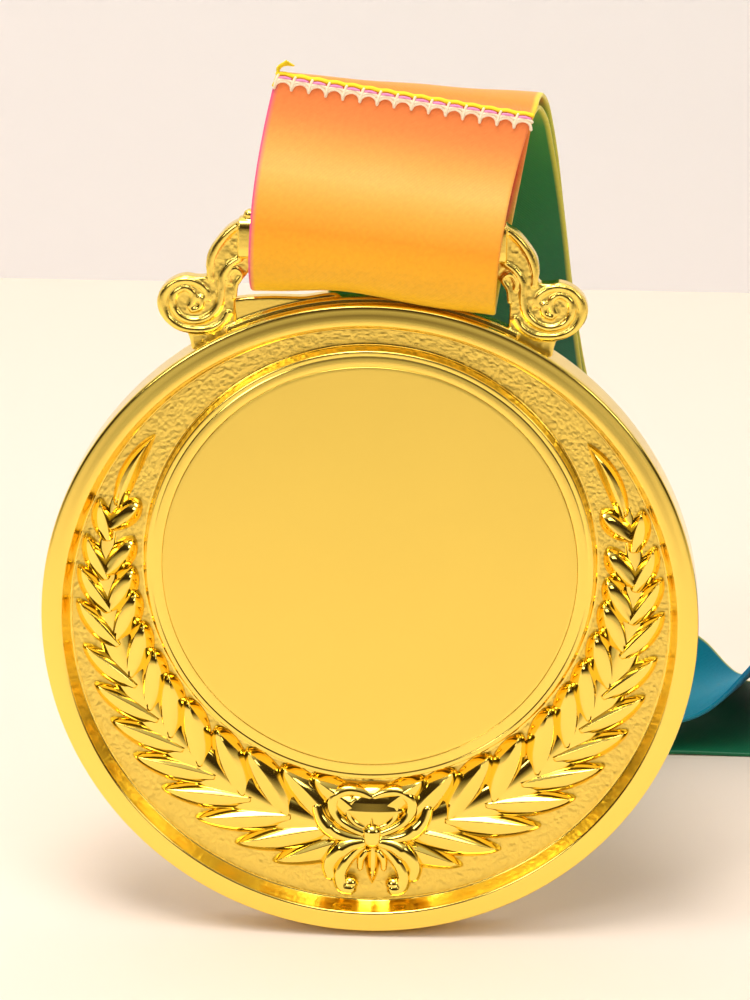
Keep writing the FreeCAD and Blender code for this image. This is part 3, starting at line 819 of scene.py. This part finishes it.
def ribbon():
    """The whole neck ribbon as one strip: loop, rear length, folds and front length."""
    stations = ribbon_stations()
    line = smooth_line(stations, 0.62)
    left = line[:, :3]
    right = line[:, 3:]
    centre = (left + right) / 2
    steps = np.linalg.norm(np.diff(centre, axis=0), axis=1)
    along = np.concatenate([[0], np.cumsum(steps)])
    along *= RIBBON_LENGTH / along[-1]
    ahead = np.gradient(centre, axis=0)
    ahead /= np.linalg.norm(ahead, axis=1)[:, None]
    sideways = right - left
    sideways /= np.linalg.norm(sideways, axis=1)[:, None]
    normal = np.cross(sideways, ahead)
    normal /= np.linalg.norm(normal, axis=1)[:, None]
    border = np.array([11.9, 12.2, 12.38, 12.5])
    places = np.concatenate([-border[::-1], np.linspace(-11.4, 11.4, 24), border])
    thick = HALF_THICK * np.interp(12.5 - np.abs(places), [0, 0.12, 0.3, 0.6], [0.35, 0.85, 1.0, 1.0])
    share = (places + 12.5) / 25
    flat = left[:, None] * (1 - share)[None, :, None] + right[:, None] * share[None, :, None]
    along_grid = along[:, None] * np.ones(len(places))
    across_grid = places[None] * np.ones((len(along), 1))
    ripple = 0.1 * lumps(along_grid, across_grid, 5.0)
    fade = np.interp(along, [0, 4, 120, 160, 700, 740, 846, 850], [0, 1, 1, 0.6, 0.6, 1, 1, 0])
    ripple *= fade[:, None]
    bulge_along = np.exp(-(((along - 22) / 5.0) ** 2))
    bulge_across = np.exp(-(((places + 2.5) / 6.5) ** 2))
    lift = 0.9 * bulge_along[:, None] * bulge_across[None]
    flat = flat + lift[..., None] * (on_loop(1, 0, 0) - on_loop(0, 0, 0))
    flat = flat + normal[:, None] * ripple[..., None]
    flat[..., 2] = np.maximum(flat[..., 2], LOWEST_CLOTH)
    upper = flat + normal[:, None] * thick[None, :, None]
    under = flat - normal[:, None] * thick[None, :, None]
    rings = np.concatenate([upper, under[:, ::-1]], 1)
    points, faces = skin(rings)
    strip = make(
        "neck_ribbon", points, faces, ribbon_material(), "ribbon",
        ["ribbon_loop", "ribbon_rear_length", "ribbon_front_length", "ribbon_neck_folds"],
    )
    across = np.concatenate([places, places[::-1]])[None] * np.ones((len(along), 1))
    far = along[:, None] * np.ones((1, across.shape[1]))
    point_values(strip, "along", far)
    point_values(strip, "across", across)
    point_colours(strip, ribbon_colours(far.ravel(), across.ravel()))
    return strip


# ---------------------------------------------------------------- seam


def seam_point(z, depth, lift):
    """A point on the ribbon's front face: z across, depth below the seam's top, lift off the cloth."""
    bend = depth * depth / 29.0
    return on_loop(LOOP_HEIGHT + 0.7 - depth, LAYER + HALF_THICK + bend + lift, z)


def strand(points, radius):
    """A thread through points of the row frame."""
    return tube(smooth_line(points, 0.1), radius, 8)


def seam():
    """The overlock seam: cream scallops, pink dashes between them, a yellow edge and a loose tail."""
    pitch = RIBBON_WIDTH / STITCHES
    cream = []
    pink = []
    for i in range(STITCHES):
        a = -RIBBON_WIDTH / 2 + i * pitch
        wobble = 0.12 * float(lumps(i * 3.1, 0.5, 1.0))
        scallop = [(a, 1.35 + wobble, 0.06), (a + 0.12, 0.95, 0.1), (a + pitch * 0.3, 0.66, 0.12),
                   (a + pitch * 0.5, 0.58, 0.12), (a + pitch * 0.72, 0.66, 0.12),
                   (a + pitch * 0.92, 0.95, 0.1),
                   (a + pitch, 1.35 + wobble, 0.06)]
        cream.append(strand([seam_point(*p) for p in scallop], 0.15))
        upper = [(a - 0.05, 0.75, 0.1), (a + pitch * 0.35, 0.42, 0.13),
                 (a + pitch * 0.75, 0.4, 0.13), (a + pitch, 0.6, 0.1)]
        cream.append(strand([seam_point(*p) for p in upper], 0.17))
        needle = [(a, 1.4 + wobble, 0.05), (a + 0.03, 0.9, 0.16),
                  (a + 0.1, 0.4, 0.14), (a + 0.2, -0.02, 0.06)]
        cream.append(strand([seam_point(*p) for p in needle], 0.15))
        dash = [(a + pitch * 0.22, 0.3, 0.1), (a + pitch * 0.5, 0.2, 0.2), (a + pitch * 0.85, 0.3, 0.1)]
        pink.append(strand([seam_point(*p) for p in dash], 0.15))
    edge = []
    for k in range(2 * STITCHES + 1):
        z = -RIBBON_WIDTH / 2 + k * pitch / 2
        edge.append(seam_point(z, -0.06 + 0.05 * (-1) ** k, 0.0))
    yellow = [strand(edge, 0.17)]
    behind = [p + (on_loop(0, -0.34, 0) - on_loop(0, 0, 0)) for p in edge]
    yellow.append(strand(behind, 0.17))
    for k in range(5):
        start = (-12.2 - 0.12 * k, 0.2 + 0.25 * k, 0.1)
        bend = (-12.5 + 0.15 * k, -0.5 - 0.1 * k, 0.1 - 0.1 * k)
        end = (-11.7 + 0.18 * k, -1.5 + 0.12 * k, 0.3 - 0.15 * k)
        yellow.append(strand([seam_point(*start), seam_point(*bend), seam_point(*end)], 0.1))
    for name, parts, colour, node in [
        ("thread_scallops", cream, linear(255, 236, 205), "seam_looper_thread"),
        ("thread_dashes", pink, linear(243, 150, 200), "seam_needle_thread"),
        ("thread_edge", yellow, linear(250, 222, 40), "seam_thread_tail"),
    ]:
        points, faces = together(parts)
        make(name, points, faces, thread_material(name, colour), "ribbon", [node])


casting()
centre_plate()
hanger()
wreath()
ribbon()
seam()

# ---------------------------------------------------------------- studio


def studio_plane(name, corners, colour, roughness):
    """A flat stage piece from four corners, in metres."""
    mesh = bpy.data.meshes.new(name)
    mesh.from_pydata(corners, [], [(0, 1, 2, 3)])
    m, nodes, links, shader = material(name, colour, roughness, 0.0, 0.2)
    uneven(nodes, links, shader.inputs["Roughness"], 8, roughness, roughness + 0.1)
    mesh.materials.append(m)
    plane = bpy.data.objects.new(name, mesh)
    bpy.context.scene.collection.objects.link(plane)
    return plane


# The stage, in metres: how far it reaches to each side, where the wall stands and how high it is.
REACH = 1.5
WALL_Y = 0.169
WALL_TOP = 1.4
far_left = (-REACH, WALL_Y, 0)
far_right = (REACH, WALL_Y, 0)
table_corners = [(-REACH, -REACH, 0), (REACH, -REACH, 0), far_right, far_left]
wall_corners = [far_left, far_right, (REACH, WALL_Y, WALL_TOP), (-REACH, WALL_Y, WALL_TOP)]
studio_plane("table", table_corners, linear(236, 222, 208), 0.7)
studio_plane("wall", wall_corners, linear(246, 244, 246), 0.8)


def soft_light(name, place, target, size, power, colour=(1, 0.975, 0.93)):
    """A square area light, placed and aimed in metres."""
    lamp = bpy.data.lights.new(name, "AREA")
    lamp.size = size
    lamp.energy = power
    lamp.color = colour
    holder = bpy.data.objects.new(name, lamp)
    bpy.context.scene.collection.objects.link(holder)
    holder.location = place
    holder.rotation_mode = "QUATERNION"
    holder.rotation_quaternion = (Vector(target) - Vector(place)).to_track_quat("-Z", "Y")
    return holder


MEDAL_MIDDLE = (0, 0.05, 0.04)
soft_light("overhead", (-0.1, -0.1, 0.75), (0, 0, 0.0), 0.3, 2.9)
soft_light("front_left", (-0.7, -0.9, 0.75), MEDAL_MIDDLE, 0.35, 2.8)
soft_light("wall_wash", (0.0, -0.35, 1.0), (0, WALL_Y, 0.25), 0.5, 2.5)
soft_light("front_right", (0.8, -0.6, 0.6), MEDAL_MIDDLE, 0.3, 1.2)


def room():
    """The room's glow: pale low down, brown at eye height and brighter overhead."""
    world = bpy.data.worlds.new("room")
    world.use_nodes = True
    nodes = world.node_tree.nodes
    links = world.node_tree.links
    background = nodes["Background"]
    place = nodes.new("ShaderNodeTexCoord")
    split = nodes.new("ShaderNodeSeparateXYZ")
    ramp = nodes.new("ShaderNodeValToRGB")
    links.new(place.outputs["Generated"], split.inputs[0])
    links.new(split.outputs["Z"], ramp.inputs[0])
    links.new(ramp.outputs[0], background.inputs["Color"])
    stops = [(0.0, (0.6, 0.55, 0.48)), (0.07, (0.3, 0.25, 0.18)), (0.16, (0.03, 0.02, 0.012)),
             (0.5, (0.05, 0.035, 0.02)), (0.75, (0.45, 0.42, 0.4)), (1.0, (0.7, 0.68, 0.66))]
    while len(ramp.color_ramp.elements) < len(stops):
        ramp.color_ramp.elements.new(0.5)
    for element, (at, colour) in zip(ramp.color_ramp.elements, stops):
        element.position = at
        element.color = (*colour, 1)
    background.inputs["Strength"].default_value = 1.0
    bpy.context.scene.world = world


room()

# ---------------------------------------------------------------- camera

# Metres. The aim is shifted from the middle of the face, up and to the right.
CAMERA_DISTANCE = 0.4936
AIM_UP = 0.01233
AIM_RIGHT = 0.00064
TOWARDS_CAMERA = (0.0491, -0.8970, 0.4393)
face_centre = Vector(on_medal((0, 0, FRONT_Z)) * MM)
towards = Vector(TOWARDS_CAMERA).normalized()
camera_data = bpy.data.cameras.new("camera")
camera_data.lens = 180
camera_data.sensor_width = 36
camera_data.clip_start = 0.05
camera = bpy.data.objects.new("camera", camera_data)
bpy.context.scene.collection.objects.link(camera)
camera.location = face_centre + towards * CAMERA_DISTANCE
rightwards = Vector((0, 0, 1)).cross(towards).normalized()
upwards = towards.cross(rightwards)
target = face_centre + upwards * AIM_UP + rightwards * AIM_RIGHT
camera.rotation_mode = "QUATERNION"
camera.rotation_quaternion = (target - camera.location).to_track_quat("-Z", "Y")
bpy.context.scene.camera = camera
bpy.context.scene.view_settings.view_transform = "Standard"
bpy.context.scene.view_settings.exposure = 0.04
